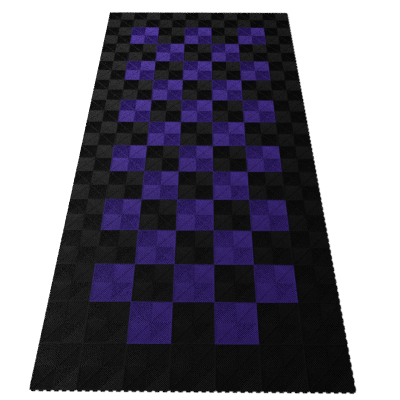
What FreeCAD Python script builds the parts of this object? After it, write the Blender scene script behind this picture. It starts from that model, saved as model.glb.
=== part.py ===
import FreeCAD, Part
import os
import Sketcher

# An outdoor sports mat made of square interlocking ribbed floor tiles.
# Frame: millimetres, +Z up, +X across the mat, +Y along it, with the origin on
# the floor under the centre of the mat's outer box.  Row 1 is the far end (+Y)
# and column 1 is the left side (-X).  Every tile is the same moulding: a
# slotted deck on walls and webs, with loops standing out of its -Y and +X
# sides and pegs hanging inside its +Y and -X sides.  The pegs of each tile
# drop into the loops of the tiles beside it.

SIZES = {
    "tile_pitch": 400.0,       # from one tile to the next
    "seam_gap": 1.0,           # between the sides of two tiles
    "tile_height": 19.0,
    "deck_thickness": 7.0,
    "wall_thickness": 4.0,
    "web_thickness": 4.0,
    "centre_land": 6.0,        # half the solid strip along the tile's mid-lines
    "edge_land": 18.5,         # solid strip round the tile's deck
    "slot_width": 10.0,
    "slots_to_corner": 11.0,   # slot spacings from the tile's centre to its corner
    "loops_per_side": 6.0,
    "loop_reach": 5.0,         # from the seam to the middle of a loop's bore
    "loop_lip": 4.2,           # from there to the loop's tip
    "loop_root_width": 46.0,   # where a loop leaves the wall
    "loop_tip_width": 36.0,
    "loop_bore_radius": 2.6,
    "loop_low": 1.0,
    "loop_high": 8.0,
    "peg_radius": 2.0,
    "peg_low": 1.5,
    "rebate": 14.0,            # overhang of the deck over the pegs
    "column_count": 7.0,
    "row_count": 14.0,
}

doc = FreeCAD.newDocument("ribbed_tile_mat")
sheet = doc.addObject("Spreadsheet::Sheet", "Sizes")
for number, (alias, value) in enumerate(SIZES.items(), start=1):
    sheet.set(f"A{number}", alias)
    sheet.set(f"B{number}", str(value))
    sheet.setAlias(f"B{number}", alias)
doc.recompute()

pitch = sheet.tile_pitch
half_side = (pitch - sheet.seam_gap) / 2
columns = int(sheet.column_count)
rows = int(sheet.row_count)


# ---- helpers -------------------------------------------------------------

def new_sketch(body, name, height="0"):
    """A sketch parallel to the floor, at a height bound to the sheet."""
    sketch = body.newObject("Sketcher::SketchObject", name)
    plane = next(f for f in body.Origin.OriginFeatures if f.Role == "XY_Plane")
    sketch.AttachmentSupport = (plane, [""])
    sketch.MapMode = "FlatFace"
    sketch.setExpression("AttachmentOffset.Base.z", height)
    return sketch


def point(x, y):
    return FreeCAD.Vector(x, y, 0)


def polygon(sketch, corners):
    """A closed outline of straight lines."""
    first = sketch.GeometryCount
    count = len(corners)
    for i in range(count):
        sketch.addGeometry(Part.LineSegment(point(*corners[i]), point(*corners[(i + 1) % count])))
    for i in range(count):
        sketch.addConstraint(Sketcher.Constraint("Coincident", first + i, 2, first + (i + 1) % count, 1))
    return first


def rectangle(sketch, low_x, high_x, low_y, high_y):
    """A rectangle whose four sides are bound to expressions measured from the sketch's origin."""
    corners = [(0, 0), (1, 0), (1, 1), (0, 1)]
    first = polygon(sketch, corners)
    for side, kind in enumerate(("Horizontal", "Vertical", "Horizontal", "Vertical")):
        sketch.addConstraint(Sketcher.Constraint(kind, first + side))
    bindings = (("DistanceX", first, 1, low_x), ("DistanceY", first, 1, low_y),
                ("DistanceX", first + 2, 1, high_x), ("DistanceY", first + 2, 1, high_y))
    for kind, edge, end, expression in bindings:
        index = sketch.addConstraint(Sketcher.Constraint(kind, -1, 1, edge, end, 1.0))
        sketch.setExpression(f"Constraints[{index}]", expression)


def circle(sketch, x, y, radius):
    """A circle whose centre and radius are bound to expressions."""
    edge = sketch.addGeometry(Part.Circle(point(0, 0), FreeCAD.Vector(0, 0, 1), 1.0))
    for kind, expression in (("DistanceX", x), ("DistanceY", y)):
        index = sketch.addConstraint(Sketcher.Constraint(kind, -1, 1, edge, 3, 1.0))
        sketch.setExpression(f"Constraints[{index}]", expression)
    index = sketch.addConstraint(Sketcher.Constraint("Radius", edge, 1.0))
    sketch.setExpression(f"Constraints[{index}]", radius)


def loop_outline(sketch, x):
    """A tab out of the -Y wall that narrows towards its tip, and the bore through it."""
    root_y = f"-{HALF_SIDE} + 1"
    middle_y = "-(Sizes.tile_pitch / 2 + Sizes.loop_reach)"
    tip_y = f"{middle_y} - Sizes.loop_lip"
    tip = polygon(sketch, [(-1, -1), (1, -1), (2, 1), (-2, 1)])
    root = tip + 2
    for level in (tip, root):
        sketch.addConstraint(Sketcher.Constraint("Horizontal", level))
    bindings = (("DistanceX", tip, 1, f"{x} - Sizes.loop_tip_width / 2"),
                ("DistanceX", tip, 2, f"{x} + Sizes.loop_tip_width / 2"), ("DistanceY", tip, 1, tip_y),
                ("DistanceX", root, 1, f"{x} + Sizes.loop_root_width / 2"),
                ("DistanceX", root, 2, f"{x} - Sizes.loop_root_width / 2"), ("DistanceY", root, 1, root_y))
    for kind, edge, end, expression in bindings:
        index = sketch.addConstraint(Sketcher.Constraint(kind, -1, 1, edge, end, 1.0))
        sketch.setExpression(f"Constraints[{index}]", expression)
    circle(sketch, x, middle_y, "Sizes.loop_bore_radius")


def pad(body, sketch, length, name):
    feature = body.newObject("PartDesign::Pad", name)
    feature.Profile = sketch
    feature.setExpression("Length", length)
    return feature


def pocket_up(body, sketch, length, name):
    """Cut upwards from the sketch by a length bound to the sheet."""
    feature = body.newObject("PartDesign::Pocket", name)
    feature.Profile = sketch
    feature.Reversed = True
    feature.setExpression("Length", length)
    return feature


def turned_copies(body, feature, sketch, angle, occurrences):
    """Copies of a feature turned about the tile's vertical axis."""
    pattern = body.newObject("PartDesign::PolarPattern", feature.Name + "Turned")
    pattern.Originals = [feature]
    pattern.Axis = (sketch, ["N_Axis"])
    pattern.Angle = angle
    pattern.Occurrences = occurrences
    body.Tip = pattern


def checked_volume(body, before, sign, what):
    """Recompute, and stop if a feature did not add or cut anything."""
    doc.recompute()
    volume = body.Shape.Volume
    if sign * (volume - before) <= 1.0:
        raise RuntimeError(f"{what} left the volume at {volume:.0f} mm3")
    return volume


# ---- the tile ------------------------------------------------------------

HALF_SIDE = "(Sizes.tile_pitch - Sizes.seam_gap) / 2"
DECK_LOW = "Sizes.tile_height - Sizes.deck_thickness"
SIDE_SPACING = "Sizes.tile_pitch / Sizes.loops_per_side"


def side_position(number):
    """The place along a side of loop or peg number 0, 1, 2 ..., as an expression."""
    return f"({number} + 0.5) * {SIDE_SPACING} - Sizes.tile_pitch / 2"


def add_deck_and_walls(body):
    deck = new_sketch(body, "DeckOutline", DECK_LOW)
    rectangle(deck, f"-{HALF_SIDE}", HALF_SIDE, f"-{HALF_SIDE}", HALF_SIDE)
    pad(body, deck, "Sizes.deck_thickness", "Deck")

    walls = new_sketch(body, "WallOutline")
    wall = "Sizes.wall_thickness"
    rebated = f"({HALF_SIDE} - Sizes.rebate)"
    rectangle(walls, f"-{rebated}", HALF_SIDE, f"-{HALF_SIDE}", rebated)
    rectangle(walls, f"-{rebated} + {wall}", f"{HALF_SIDE} - {wall}",
              f"-{HALF_SIDE} + {wall}", f"{rebated} - {wall}")
    pad(body, walls, DECK_LOW, "Walls")


def add_webs(body):
    """Webs under the deck along both mid-lines and both diagonals, which stand on the floor."""
    reach = f"({HALF_SIDE} - Sizes.rebate - 1)"
    middle = new_sketch(body, "MidWebOutline")
    rectangle(middle, f"-{reach}", reach, "-Sizes.web_thickness / 2", "Sizes.web_thickness / 2")
    web = pad(body, middle, DECK_LOW, "MidWeb")
    turned_copies(body, web, middle, 90, 2)

    diagonal = new_sketch(body, "DiagonalWebOutline")
    corner = half_side - sheet.rebate - 1
    offset = sheet.web_thickness / 2 ** 0.5
    polygon(diagonal, [(-corner, -corner + offset), (-corner, -corner), (-corner + offset, -corner),
                       (corner, corner - offset), (corner, corner), (corner - offset, corner)])
    web = pad(body, diagonal, DECK_LOW, "DiagonalWeb")
    turned_copies(body, web, diagonal, 90, 2)


def slot_outline(middle, half_band, low, high):
    """The part of the band |x + y - middle| < half_band inside the square from low to high."""
    near, far = middle - half_band, middle + half_band

    def ends(total):
        return max(low, total - high), min(high, total - low)

    near_low, near_high = ends(near)
    far_low, far_high = ends(far)
    corners = [(near_low, near - near_low), (near_high, near - near_high)]
    if near < low + high < far:
        corners.append((high, low))
    corners += [(far_high, far - far_high), (far_low, far - far_low)]
    if near < low + high < far:
        corners.append((low, high))
    return corners


def add_slots(body):
    """Drain slots at 45 degrees, which make diamonds round the middle of the tile."""
    sketch = new_sketch(body, "SlotOutlines", DECK_LOW)
    spacing = pitch / sheet.slots_to_corner
    half_band = sheet.slot_width / 2 ** 0.5
    low, high = sheet.centre_land, half_side - sheet.edge_land
    for number in range(1, int(sheet.slots_to_corner)):
        middle = number * spacing
        if middle + half_band < 2 * high:
            polygon(sketch, slot_outline(middle, half_band, low, high))
    slots = pocket_up(body, sketch, "Sizes.deck_thickness", "Slots")
    turned_copies(body, slots, sketch, 360, 4)


def add_loops(body):
    """Tapered loops on the -Y side, and the same turned onto the +X side."""
    sketch = new_sketch(body, "LoopOutlines", "Sizes.loop_low")
    for number in range(int(sheet.loops_per_side)):
        loop_outline(sketch, side_position(number))
    loops = pad(body, sketch, "Sizes.loop_high - Sizes.loop_low", "Loops")
    turned_copies(body, loops, sketch, 90, 2)


def add_pegs(body):
    """Pegs under the deck along the +Y and -X sides."""
    sketch = new_sketch(body, "PegOutlines", "Sizes.peg_low")
    for number in range(int(sheet.loops_per_side)):
        circle(sketch, side_position(number), "Sizes.tile_pitch / 2 - Sizes.loop_reach", "Sizes.peg_radius")
    pegs = pad(body, sketch, f"{DECK_LOW} - Sizes.peg_low", "Pegs")
    turned_copies(body, pegs, sketch, 90, 2)


def make_tile():
    body = doc.addObject("PartDesign::Body", "Tile")
    steps = ((add_deck_and_walls, 1), (add_webs, 1), (add_slots, -1), (add_loops, 1), (add_pegs, 1))
    volume = 0.0
    for step, sign in steps:
        step(body)
        volume = checked_volume(body, volume, sign, step.__name__)
    return body


# ---- the mat -------------------------------------------------------------

def is_purple(row, column):
    """Purple tiles alternate with black ones inside a border one tile wide."""
    inside = 1 < row < rows and 1 < column < columns
    return inside and (row + column) % 2 == 0


def place_tile(tile, row, column):
    """A copy of the tile at its row and column."""
    link = doc.addObject("App::Link", f"TileRow{row}Column{column}")
    link.LinkedObject = tile
    shift = "(Sizes.loop_reach + Sizes.loop_lip + Sizes.seam_gap / 2) / 2"
    across = f"({column} - (Sizes.column_count + 1) / 2) * Sizes.tile_pitch - {shift}"
    along = f"((Sizes.row_count + 1) / 2 - {row}) * Sizes.tile_pitch + {shift}"
    link.setExpression("Placement.Base.x", across)
    link.setExpression("Placement.Base.y", along)
    return link


def make_sub_parts(tile):
    """One sub-part for each purple tile, and one for each row's black border and black field tiles."""
    sub_parts = []
    for row in range(1, rows + 1):
        groups = {"border": [], "field": []}
        for column in range(1, columns + 1):
            link = place_tile(tile, row, column)
            if is_purple(row, column):
                link.Label = f"purple_tile_row_{row:02d}_col_{column}"
                sub_parts.append(link)
            elif row in (1, rows) or column in (1, columns):
                groups["border"].append(link)
            else:
                groups["field"].append(link)
        for where, links in groups.items():
            if links:
                group = doc.addObject("Part::Compound", f"Black{where.title()}Row{row}")
                group.Links = links
                group.Label = f"black_{where}_tiles_row_{row:02d}"
                sub_parts.append(group)
    return sub_parts


def main():
    tile = make_tile()
    sub_parts = make_sub_parts(tile)
    doc.recompute()
    for item in doc.Objects:
        if "Invalid" in item.State or "Error" in item.State:
            raise RuntimeError(f"{item.Label} failed: {item.State}")
    print(f"tile: {len(tile.Shape.Faces)} faces, {tile.Shape.Volume:.0f} mm3, {len(tile.Shape.Solids)} solid")
    shapes = {sub_part.Label: Part.getShape(sub_part) for sub_part in sub_parts}
    for label, shape in shapes.items():
        if shape.isNull() or not shape.isValid():
            raise RuntimeError(f"{label} has no valid shape")
    os.makedirs("parts", exist_ok=True)
    for label, shape in shapes.items():
        shape.exportStep(f"parts/{label}.step")
    print(f"{len(sub_parts)} sub-parts written")


main()
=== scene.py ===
import math

import bmesh
import bpy
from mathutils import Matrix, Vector


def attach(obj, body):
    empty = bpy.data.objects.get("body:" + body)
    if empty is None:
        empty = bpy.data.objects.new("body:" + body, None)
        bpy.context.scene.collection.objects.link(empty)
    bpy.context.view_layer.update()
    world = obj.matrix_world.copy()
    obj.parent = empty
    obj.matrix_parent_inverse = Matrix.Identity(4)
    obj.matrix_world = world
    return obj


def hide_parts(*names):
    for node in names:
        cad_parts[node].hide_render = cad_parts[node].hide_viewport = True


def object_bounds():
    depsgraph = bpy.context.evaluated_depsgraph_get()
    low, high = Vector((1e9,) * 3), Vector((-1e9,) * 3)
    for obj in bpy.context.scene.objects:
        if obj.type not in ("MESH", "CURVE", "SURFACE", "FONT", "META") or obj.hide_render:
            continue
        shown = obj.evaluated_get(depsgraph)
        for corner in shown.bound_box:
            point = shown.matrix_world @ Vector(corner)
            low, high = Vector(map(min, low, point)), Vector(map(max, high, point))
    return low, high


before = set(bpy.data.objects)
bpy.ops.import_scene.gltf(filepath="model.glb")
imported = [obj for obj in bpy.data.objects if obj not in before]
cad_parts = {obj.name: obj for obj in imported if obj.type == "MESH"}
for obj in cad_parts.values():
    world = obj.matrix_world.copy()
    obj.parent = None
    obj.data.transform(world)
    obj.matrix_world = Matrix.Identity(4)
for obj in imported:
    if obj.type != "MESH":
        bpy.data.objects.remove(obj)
cad_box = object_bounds()

# A mat of square interlocking ribbed floor tiles.  Tile sizes are in
# millimetres, measured from the middle of a tile at floor level; the scene is
# in metres.  Row 1 is the far end and column 1 the left side.
MM = 0.001
ROWS, COLUMNS = 14, 7
PITCH = 400.0
HALF_SIDE = 199.5            # half a tile between its side faces
HEIGHT = 19.0
ROOT2 = math.sqrt(2)

# ribs on top, in diamonds round the middle of the tile
RIB_SPACING = 13.0
RIB_HALF_FOOT = 3.9
RIB_HALF_TOP = 3.0
RIB_FOOT = 12.5
RIB_SHOULDER = 16.6
RIB_FACETS = 8
DIAGONAL_HALF_FOOT = 2.0     # the ribs from corner to corner are thinner
DIAGONAL_HALF_TOP = 1.2
BORDER = 4.0                 # width of the rim round the tile

# bars under the ribs, across them, with a web under each
BAR_SPACING = 20.5
BAR_HALF_WIDTH = 8.2
BAR_LOW, BAR_HIGH = 9.5, 13.2
WEB_HALF_WIDTH = 1.2

# clips
REBATE = 14.0                # overhang of the rim over the pegs
LOOPS_PER_SIDE = 6
LOOP_REACH = 5.0             # from the seam to the middle of a loop's bore
LOOP_LIP = 4.2               # from there to the loop's tip
LOOP_ROOT_WIDTH, LOOP_TIP_WIDTH = 46.0, 36.0
LOOP_BORE = 2.6
LOOP_LOW, LOOP_HIGH = 1.0, 8.0
PEG_RADIUS, PEG_LOW = 2.0, 1.5
PEG_TAPER, PEG_TAPER_HEIGHT = 0.7, 1.3
SHELF_LOW, SHELF_HIGH = 12.0, 14.0

INSIDE = HALF_SIDE - BORDER  # half the opening inside the rim
OVERLAP = 1                  # how far a piece of the tile runs into the next one

# finishes, as (colour, colour where it is worn)
BLACK = (0.0046, 0.0046, 0.0048), (0.0064, 0.0064, 0.0066)
PURPLE = (0.056, 0.0215, 0.262), (0.070, 0.029, 0.315)


# ---- tile mesh -----------------------------------------------------------

class Shell:
    """Vertices and faces of a mesh made of closed solids."""

    def __init__(self):
        self.points = []
        self.faces = []

    def sweep(self, rings, closed):
        """Skin a row of equal rings of points; a closed row joins its last ring to its first."""
        first = len(self.points)
        size = len(rings[0])
        for ring in rings:
            self.points.extend(ring)
        spans = len(rings) if closed else len(rings) - 1
        for i in range(spans):
            a = first + i * size
            b = first + (i + 1) % len(rings) * size
            for j in range(size):
                k = (j + 1) % size
                self.faces.append((a + j, a + k, b + k, b + j))
        if not closed:
            last = first + (len(rings) - 1) * size
            self.faces.append(tuple(range(first + size - 1, first - 1, -1)))
            self.faces.append(tuple(range(last, last + size)))

    def prism(self, outline, low, high):
        """Stand a flat anticlockwise outline up from one height to another."""
        self.sweep([[(x, y, low) for x, y in outline], [(x, y, high) for x, y in outline]], closed=False)


def clip(outline, across, along, limit):
    """The part of an outline where across * x + along * y is under a limit."""
    kept = []
    for (x0, y0), (x1, y1) in zip(outline, outline[1:] + outline[:1]):
        d0 = across * x0 + along * y0 - limit
        d1 = across * x1 + along * y1 - limit
        if d0 <= 0:
            kept.append((x0, y0))
        if d0 * d1 < 0:
            part = d0 / (d0 - d1)
            kept.append((x0 + part * (x1 - x0), y0 + part * (y1 - y0)))
    return kept


def quarter_turns(points):
    """The same points turned by 0, 90, 180 and 270 degrees about the tile's middle."""
    turned = []
    for _ in range(4):
        turned.append(points)
        points = [(-p[1], p[0], *p[2:]) for p in points]
    return turned


def rounded_top(half_foot, half_top, foot, shoulder, top, facets):
    """A rib's section as (offset, height) points, with an elliptical top."""
    section = [(-half_foot, foot)]
    for i in range(facets + 1):
        angle = math.pi * (1 - i / facets)
        section.append((half_top * math.cos(angle), shoulder + (top - shoulder) * math.sin(angle)))
    section.append((half_foot, foot))
    return section


def add_ribs(shell):
    section = rounded_top(RIB_HALF_FOOT, RIB_HALF_TOP, RIB_FOOT, RIB_SHOULDER, HEIGHT, RIB_FACETS)
    edge = INSIDE + OVERLAP
    count = int(2 * INSIDE / ROOT2 / RIB_SPACING)
    for number in range(1, count + 1):
        middle = number * RIB_SPACING
        reach = [((middle + offset) * ROOT2, height) for offset, height in section]
        if reach[-1][0] < INSIDE:
            corner = [(0.0, r, height) for r, height in reach]
            shell.sweep(quarter_turns(corner), closed=True)
        elif reach[0][0] > INSIDE:
            start = [(edge, r - edge, height) for r, height in reach]
            end = [(r - edge, edge, height) for r, height in reach]
            for a, b in zip(quarter_turns(start), quarter_turns(end)):
                shell.sweep([a, b], closed=False)


def add_diagonals(shell):
    """The two ribs that join opposite corners of the tile."""
    section = rounded_top(DIAGONAL_HALF_FOOT, DIAGONAL_HALF_TOP, BAR_HIGH - OVERLAP, RIB_SHOULDER, HEIGHT, RIB_FACETS)
    end = INSIDE + OVERLAP
    for side in (1, -1):
        start = [(-end - o * side / ROOT2, -end * side + o / ROOT2, z) for o, z in section]
        finish = [(end - o * side / ROOT2, end * side + o / ROOT2, z) for o, z in section]
        shell.sweep([start, finish], closed=False)


def add_bars(shell):
    """Bars parallel to each quarter's diagonal, and a thin web under each."""
    edge = INSIDE + OVERLAP
    quarter = [(0.0, 0.0), (edge, 0.0), (edge, edge), (0.0, edge)]
    count = int(INSIDE / ROOT2 / BAR_SPACING)
    for number in range(-count, count + 1):
        middle = number * BAR_SPACING
        for half_width, low, high in ((BAR_HALF_WIDTH, BAR_LOW, BAR_HIGH), (WEB_HALF_WIDTH, 0.0, BAR_LOW + OVERLAP)):
            outline = clip(quarter, 1 / ROOT2, -1 / ROOT2, middle + half_width)
            outline = clip(outline, -1 / ROOT2, 1 / ROOT2, half_width - middle)
            for turned in quarter_turns(outline):
                shell.prism(turned, low, high)


def add_rim(shell):
    """The rim, the shelf inside it that carries the clips, and the walls."""
    edge = 1.2                          # radius of the rim's two top edges
    half_way = edge * (1 - 1 / ROOT2)   # where that round is at 45 degrees
    section = [(INSIDE, SHELF_LOW), (HALF_SIDE, SHELF_LOW), (HALF_SIDE, HEIGHT - edge),
               (HALF_SIDE - half_way, HEIGHT - half_way), (HALF_SIDE - edge, HEIGHT),
               (INSIDE + edge, HEIGHT), (INSIDE + half_way, HEIGHT - half_way), (INSIDE, HEIGHT - edge)]
    shell.sweep(quarter_turns([(r, -r, z) for r, z in section]), closed=True)
    inner = HALF_SIDE - REBATE - BORDER
    shelf = [(inner, SHELF_LOW), (INSIDE + OVERLAP, SHELF_LOW), (INSIDE + OVERLAP, SHELF_HIGH), (inner, SHELF_HIGH)]
    shell.sweep(quarter_turns([(r, -r, z) for r, z in shelf]), closed=True)
    rebated = HALF_SIDE - REBATE
    corners = [(HALF_SIDE, -HALF_SIDE), (HALF_SIDE, rebated), (-rebated, rebated), (-rebated, -HALF_SIDE)]
    inward = [(-1, 1), (-1, -1), (1, -1), (1, 1)]
    rings = []
    for (x, y), (dx, dy) in zip(corners, inward):
        inner_x, inner_y = x + dx * BORDER, y + dy * BORDER
        top = SHELF_LOW + OVERLAP
        rings.append([(inner_x, inner_y, 0.0), (x, y, 0.0), (x, y, top), (inner_x, inner_y, top)])
    shell.sweep(rings, closed=True)


def side_positions():
    return [(n + 0.5) * PITCH / LOOPS_PER_SIDE - PITCH / 2 for n in range(LOOPS_PER_SIDE)]


def loop_rings(x):
    """A tapered loop out of the -Y side, as sections all round its bore."""
    steps = 64
    round_off = 0.6              # width of the bevel on its edges
    middle_y = -PITCH / 2 - LOOP_REACH
    rise = LOOP_REACH + (PITCH / 2 - HALF_SIDE) + OVERLAP
    taper = math.atan2((LOOP_ROOT_WIDTH - LOOP_TIP_WIDTH) / 2, LOOP_LIP + rise)
    to_side = LOOP_TIP_WIDTH / 2 * math.cos(taper) + LOOP_LIP * math.sin(taper)
    faces = ((-math.pi / 2, LOOP_LIP), (-taper, to_side), (math.pi / 2, rise), (math.pi + taper, to_side))
    rings = []
    for i in range(steps):
        angle = 2 * math.pi * i / steps
        across, along = math.cos(angle), math.sin(angle)
        slopes = [(math.cos(angle - facing), distance) for facing, distance in faces]
        outer = min(distance / slope for slope, distance in slopes if slope > 1e-6)
        section = [(LOOP_BORE, LOOP_LOW + round_off), (LOOP_BORE + round_off, LOOP_LOW),
                   (outer - round_off, LOOP_LOW), (outer, LOOP_LOW + round_off),
                   (outer, LOOP_HIGH - round_off), (outer - round_off, LOOP_HIGH),
                   (LOOP_BORE + round_off, LOOP_HIGH), (LOOP_BORE, LOOP_HIGH - round_off)]
        rings.append([(x + r * across, middle_y + r * along, z) for r, z in section])
    return rings


def peg_rings(x):
    """A peg under the +Y side's shelf, with a tapered end."""
    steps = 20
    middle_y = PITCH / 2 - LOOP_REACH
    section = [(PEG_RADIUS - PEG_TAPER, PEG_LOW), (PEG_RADIUS, PEG_LOW + PEG_TAPER_HEIGHT),
               (PEG_RADIUS, SHELF_LOW + OVERLAP)]
    rings = []
    for radius, z in section:
        angles = [2 * math.pi * i / steps for i in range(steps)]
        rings.append([(x + radius * math.cos(a), middle_y + radius * math.sin(a), z) for a in angles])
    return rings


def add_clips(shell):
    """Loops on the -Y and +X sides, pegs on the +Y and -X sides."""
    for x in side_positions():
        for turn in (0, 1):
            shell.sweep([quarter_turns(ring)[turn] for ring in loop_rings(x)], closed=True)
            shell.sweep([quarter_turns(ring)[turn] for ring in peg_rings(x)], closed=False)


def tile_mesh(name):
    shell = Shell()
    for add in (add_ribs, add_diagonals, add_bars, add_rim, add_clips):
        add(shell)
    mesh = bpy.data.meshes.new(name)
    mesh.from_pydata([(x * MM, y * MM, z * MM) for x, y, z in shell.points], [], shell.faces)
    mesh.validate()
    return mesh


# ---- materials -----------------------------------------------------------

def node_material(name):
    material = bpy.data.materials.new(name)
    material.use_nodes = True
    tree = material.node_tree
    return material, tree, tree.nodes["Principled BSDF"]


def add_node(tree, kind, **values):
    """A node with its sockets set by name, in words joined by underscores."""
    node = tree.nodes.new(kind)
    for key, value in values.items():
        node.inputs[key.replace("_", " ")].default_value = value
    return node


def noise(tree, coordinates, scale, detail):
    node = add_node(tree, "ShaderNodeTexNoise", Scale=scale, Detail=detail, Roughness=0.6)
    tree.links.new(coordinates, node.inputs["Vector"])
    return node.outputs["Fac"]


def ramp(tree, value, low, high, from_value, to_value):
    """Map a range of one value onto a range of another, held at both ends."""
    node = add_node(tree, "ShaderNodeMapRange", From_Min=low, From_Max=high, To_Min=from_value, To_Max=to_value)
    tree.links.new(value, node.inputs["Value"])
    return node.outputs["Result"]


def multiply(tree, first, second):
    node = tree.nodes.new("ShaderNodeMath")
    node.operation = "MULTIPLY"
    tree.links.new(first, node.inputs[0])
    tree.links.new(second, node.inputs[1])
    return node.outputs["Value"]


def mix_colours(tree, amount, first, second):
    """A colour that goes from one to another; sockets 6 and 7 are the two, and output 2 the result."""
    node = tree.nodes.new("ShaderNodeMix")
    node.data_type = "RGBA"
    node.inputs[6].default_value = (*first, 1.0)
    node.inputs[7].default_value = (*second, 1.0)
    tree.links.new(amount, node.inputs["Factor"])
    return node.outputs[2]


def polypropylene(name, colour, worn_colour):
    """Moulded plastic: a fine grain, slow drifts in shade, and rib tops rubbed a little paler."""
    material, tree, shader = node_material(name)
    coordinates = tree.nodes.new("ShaderNodeTexCoord").outputs["Object"]

    height = tree.nodes.new("ShaderNodeSeparateXYZ")
    tree.links.new(coordinates, height.inputs["Vector"])
    on_top = ramp(tree, height.outputs["Z"], (HEIGHT - 1.5) * MM, HEIGHT * MM, 0.0, 1.0)
    rubbed = ramp(tree, noise(tree, coordinates, 55.0, 5.0), 0.42, 0.75, 0.0, 0.55)
    worn = multiply(tree, on_top, rubbed)
    paint = mix_colours(tree, worn, colour, worn_colour)

    drift = ramp(tree, noise(tree, coordinates, 7.0, 2.0), 0.3, 0.7, 0.9, 1.1)
    per_tile = ramp(tree, tree.nodes.new("ShaderNodeObjectInfo").outputs["Random"], 0.0, 1.0, 0.94, 1.06)
    shade = tree.nodes.new("ShaderNodeVectorMath")
    shade.operation = "SCALE"
    tree.links.new(paint, shade.inputs[0])
    tree.links.new(multiply(tree, drift, per_tile), shade.inputs["Scale"])
    tree.links.new(shade.outputs["Vector"], shader.inputs["Base Color"])

    roughness = ramp(tree, noise(tree, coordinates, 120.0, 4.0), 0.3, 0.7, 0.58, 0.70)
    tree.links.new(roughness, shader.inputs["Roughness"])
    shader.inputs["IOR"].default_value = 1.49
    shader.inputs["Specular IOR Level"].default_value = 0.12

    grain = add_node(tree, "ShaderNodeBump", Strength=0.12, Distance=0.0002)
    tree.links.new(noise(tree, coordinates, 1400.0, 3.0), grain.inputs["Height"])
    tree.links.new(grain.outputs["Normal"], shader.inputs["Normal"])
    return material


def floor_paint():
    material, _, shader = node_material("pale_floor")
    shader.inputs["Base Color"].default_value = (0.9, 0.9, 0.9, 1.0)
    shader.inputs["Roughness"].default_value = 0.8
    return material


# ---- the mat -------------------------------------------------------------

def finished_mesh(name, material):
    """The tile's mesh with outward faces and smooth rib tops, in one material."""
    mesh = tile_mesh(name)
    work = bmesh.new()
    work.from_mesh(mesh)
    bmesh.ops.recalc_face_normals(work, faces=work.faces)
    work.to_mesh(mesh)
    work.free()
    mesh.shade_smooth()
    mesh.set_sharp_from_angle(angle=math.radians(35))
    mesh.materials.append(material)
    return mesh


def is_purple(row, column):
    inside = 1 < row < ROWS and 1 < column < COLUMNS
    return inside and (row + column) % 2 == 0


def node_name(row, column):
    """The CAD node that holds a tile."""
    if is_purple(row, column):
        return f"purple_tile_row_{row:02d}_col_{column}"
    on_border = row in (1, ROWS) or column in (1, COLUMNS)
    return f"black_{'border' if on_border else 'field'}_tiles_row_{row:02d}"


def lay_tiles(meshes):
    """One piece for each tile, in the place of its CAD solid."""
    low, high = cad_box
    for row in range(1, ROWS + 1):
        for column in range(1, COLUMNS + 1):
            colour = "purple" if is_purple(row, column) else "black"
            tile = bpy.data.objects.new(f"{colour}_tile_{row:02d}_{column}", meshes[colour])
            bpy.context.scene.collection.objects.link(tile)
            tile.location = (low[0] + (HALF_SIDE + (column - 1) * PITCH) * MM,
                             high[1] - (HALF_SIDE + (row - 1) * PITCH) * MM, low[2])
            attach(tile, f"row_{row:02d}")
            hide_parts(node_name(row, column))


# ---- surroundings --------------------------------------------------------

def lay_floor(material):
    size = 60.0
    mesh = bpy.data.meshes.new("floor")
    corners = [(-size, -size), (size, -size), (size, size), (-size, size)]
    mesh.from_pydata([(x, y, 0.0) for x, y in corners], [], [(0, 1, 2, 3)])
    mesh.materials.append(material)
    floor = bpy.data.objects.new("floor", mesh)
    bpy.context.scene.collection.objects.link(floor)
    floor.location.z = cad_box[0][2] - 0.0005
    return floor


def aimed_light(name, kind, direction, distance, energy):
    """A light that stands in this direction and looks at the middle of the mat."""
    data = bpy.data.lights.new(name, kind)
    data.energy = energy
    light = bpy.data.objects.new(name, data)
    bpy.context.scene.collection.objects.link(light)
    way = Vector(direction).normalized()
    light.location = way * distance
    light.rotation_euler = way.to_track_quat("Z", "Y").to_euler()
    return light


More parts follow.
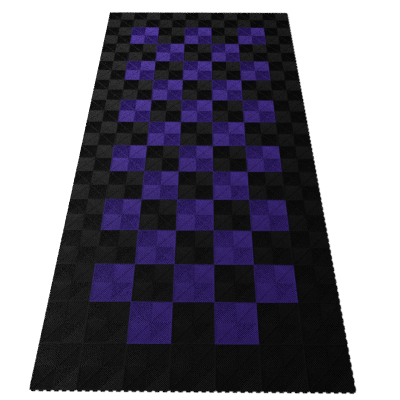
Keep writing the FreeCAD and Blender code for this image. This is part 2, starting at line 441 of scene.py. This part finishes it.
def softbox(name, direction, distance, size, power):
    light = aimed_light(name, "AREA", direction, distance, power)
    light.data.shape = "SQUARE"
    light.data.size = size
    return light


def link_to_floor(light, floor, state):
    """Make a light reach only the floor (INCLUDE) or everything but the floor (EXCLUDE)."""
    linked = bpy.data.collections.new(light.name + "_linking")
    linked.objects.link(floor)
    linked.collection_objects[0].light_linking.link_state = state
    light.light_linking.receiver_collection = linked


def light_room(floor):
    """A low softbox on the left rakes over the ribs, a high one fills, and a sun whitens only the floor."""
    softbox("key_light", (-0.970, 0.171, 0.174), 8.0, 2.4, 2050.0)
    fill = softbox("fill_light", (-0.196, 0.539, 0.819), 9.0, 3.0, 215.0)
    link_to_floor(fill, floor, "EXCLUDE")
    wash = aimed_light("floor_wash", "SUN", (0.25, -0.87, 0.42), 6.0, 8.3)
    wash.data.angle = math.radians(5.0)
    link_to_floor(wash, floor, "INCLUDE")

    world = bpy.data.worlds.new("studio")
    world.use_nodes = True
    tree = world.node_tree
    background = tree.nodes["Background"]
    background.inputs["Color"].default_value = (1.0, 1.0, 1.0, 1.0)
    path = tree.nodes.new("ShaderNodeLightPath")
    strength = ramp(tree, path.outputs["Is Camera Ray"], 0.0, 1.0, 0.042, 1.0)
    tree.links.new(strength, background.inputs["Strength"])
    bpy.context.scene.world = world


def place_camera():
    data = bpy.data.cameras.new("camera")
    data.lens = 40.01
    data.sensor_width = 36.0
    data.clip_end = 200.0
    camera = bpy.data.objects.new("camera", data)
    bpy.context.scene.collection.objects.link(camera)
    camera.location = (0.0706, -3.6316, 4.072)
    camera.rotation_euler = (math.radians(34.93), math.radians(0.03), math.radians(0.44))
    bpy.context.scene.camera = camera


def main():
    black = polypropylene("black_polypropylene_finish", *BLACK)
    purple = polypropylene("purple_polypropylene_finish", *PURPLE)
    lay_tiles({"black": finished_mesh("black_tile", black), "purple": finished_mesh("purple_tile", purple)})
    light_room(lay_floor(floor_paint()))
    place_camera()
    bpy.context.scene.view_settings.view_transform = "Standard"
    bpy.context.scene.cycles.use_denoising = False  # it smears ribs that are a pixel wide


main()
